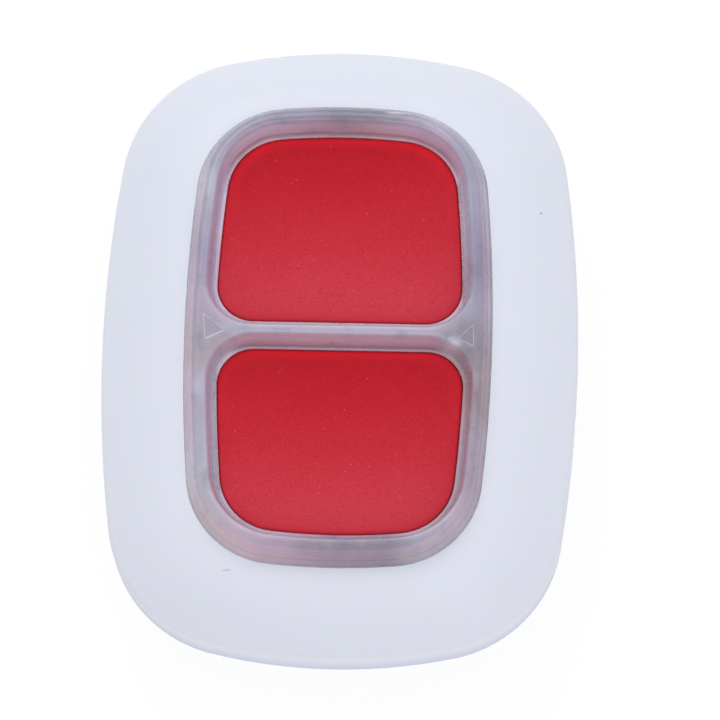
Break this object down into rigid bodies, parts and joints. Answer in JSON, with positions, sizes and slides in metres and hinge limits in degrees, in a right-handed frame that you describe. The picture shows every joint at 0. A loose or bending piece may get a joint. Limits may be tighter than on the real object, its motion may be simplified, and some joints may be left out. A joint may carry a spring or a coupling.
{
  "type": "wireless panic button",
  "caption": "Small domed case with dished red push buttons in a clear light guide frame, run on a coin cell.",
  "frame": {"origin": "middle of the flat rear face", "axes": "+Z out of the front, +Y from the lower button to the upper one, +X to the right seen from the front"},
  "size_m": [0.0352, 0.0468, 0.016],
  "materials": {
    "white_shell": "satin moulded, cool white",
    "seal_rubber": "matte",
    "clear_guide": null,
    "carrier_plastic": "plain moulded",
    "board": "solder mask over glass laminate",
    "red_cap": "finely grained",
    "boot_silicone": "milky silicone",
    "switch_plastic": "plain moulded",
    "plunger_plastic": "plain moulded",
    "lamp_resin": "clear resin lens on a white base",
    "chip_plastic": "moulded, unmarked",
    "plated_can": "plated",
    "capacitor_resin": "moulded, unmarked",
    "plated_steel": "stamped and plated",
    "cell_steel": "unmarked can",
    "spring_steel": "stamped",
    "screw_steel": "plated, cross recess"
  },
  "bodies": {
    "housing": {"front_shell": "white_shell", "rear_shell": "white_shell", "case_seal": "seal_rubber", "light_guide": "clear_guide", "button_carrier": "carrier_plastic", "circuit_board": "board", "upper_button_boot": "boot_silicone", "upper_switch_body": "switch_plastic", "lower_button_boot": "boot_silicone", "lower_switch_body": "switch_plastic", "top_lamp": "lamp_resin", "bottom_lamp": "lamp_resin", "left_lamp": "lamp_resin", "right_lamp": "lamp_resin", "radio_chip": "chip_plastic", "crystal": "plated_can", "reservoir_capacitor": "capacitor_resin", "antenna": "plated_steel", "battery_cell": "cell_steel", "battery_positive_clip": "spring_steel", "battery_negative_contact": "spring_steel", "case_screws": "screw_steel"},
    "upper_button": {"upper_button_cap": "red_cap", "upper_switch_plunger": "plunger_plastic"},
    "lower_button": {"lower_button_cap": "red_cap", "lower_switch_plunger": "plunger_plastic"}
  },
  "joints": [
    {"name": "upper_button_press", "type": "slide", "parent": "housing", "child": "upper_button", "axis": [0, 0, -1], "range_m": [0, 0.0005], "stiffness_N_per_m": 2000, "springref_m": -0.0005, "deforming": ["upper_button_boot"]},
    {"name": "lower_button_press", "type": "slide", "parent": "housing", "child": "lower_button", "axis": [0, 0, -1], "range_m": [0, 0.0005], "stiffness_N_per_m": 2000, "springref_m": -0.0005, "deforming": ["lower_button_boot"]}
  ]
}
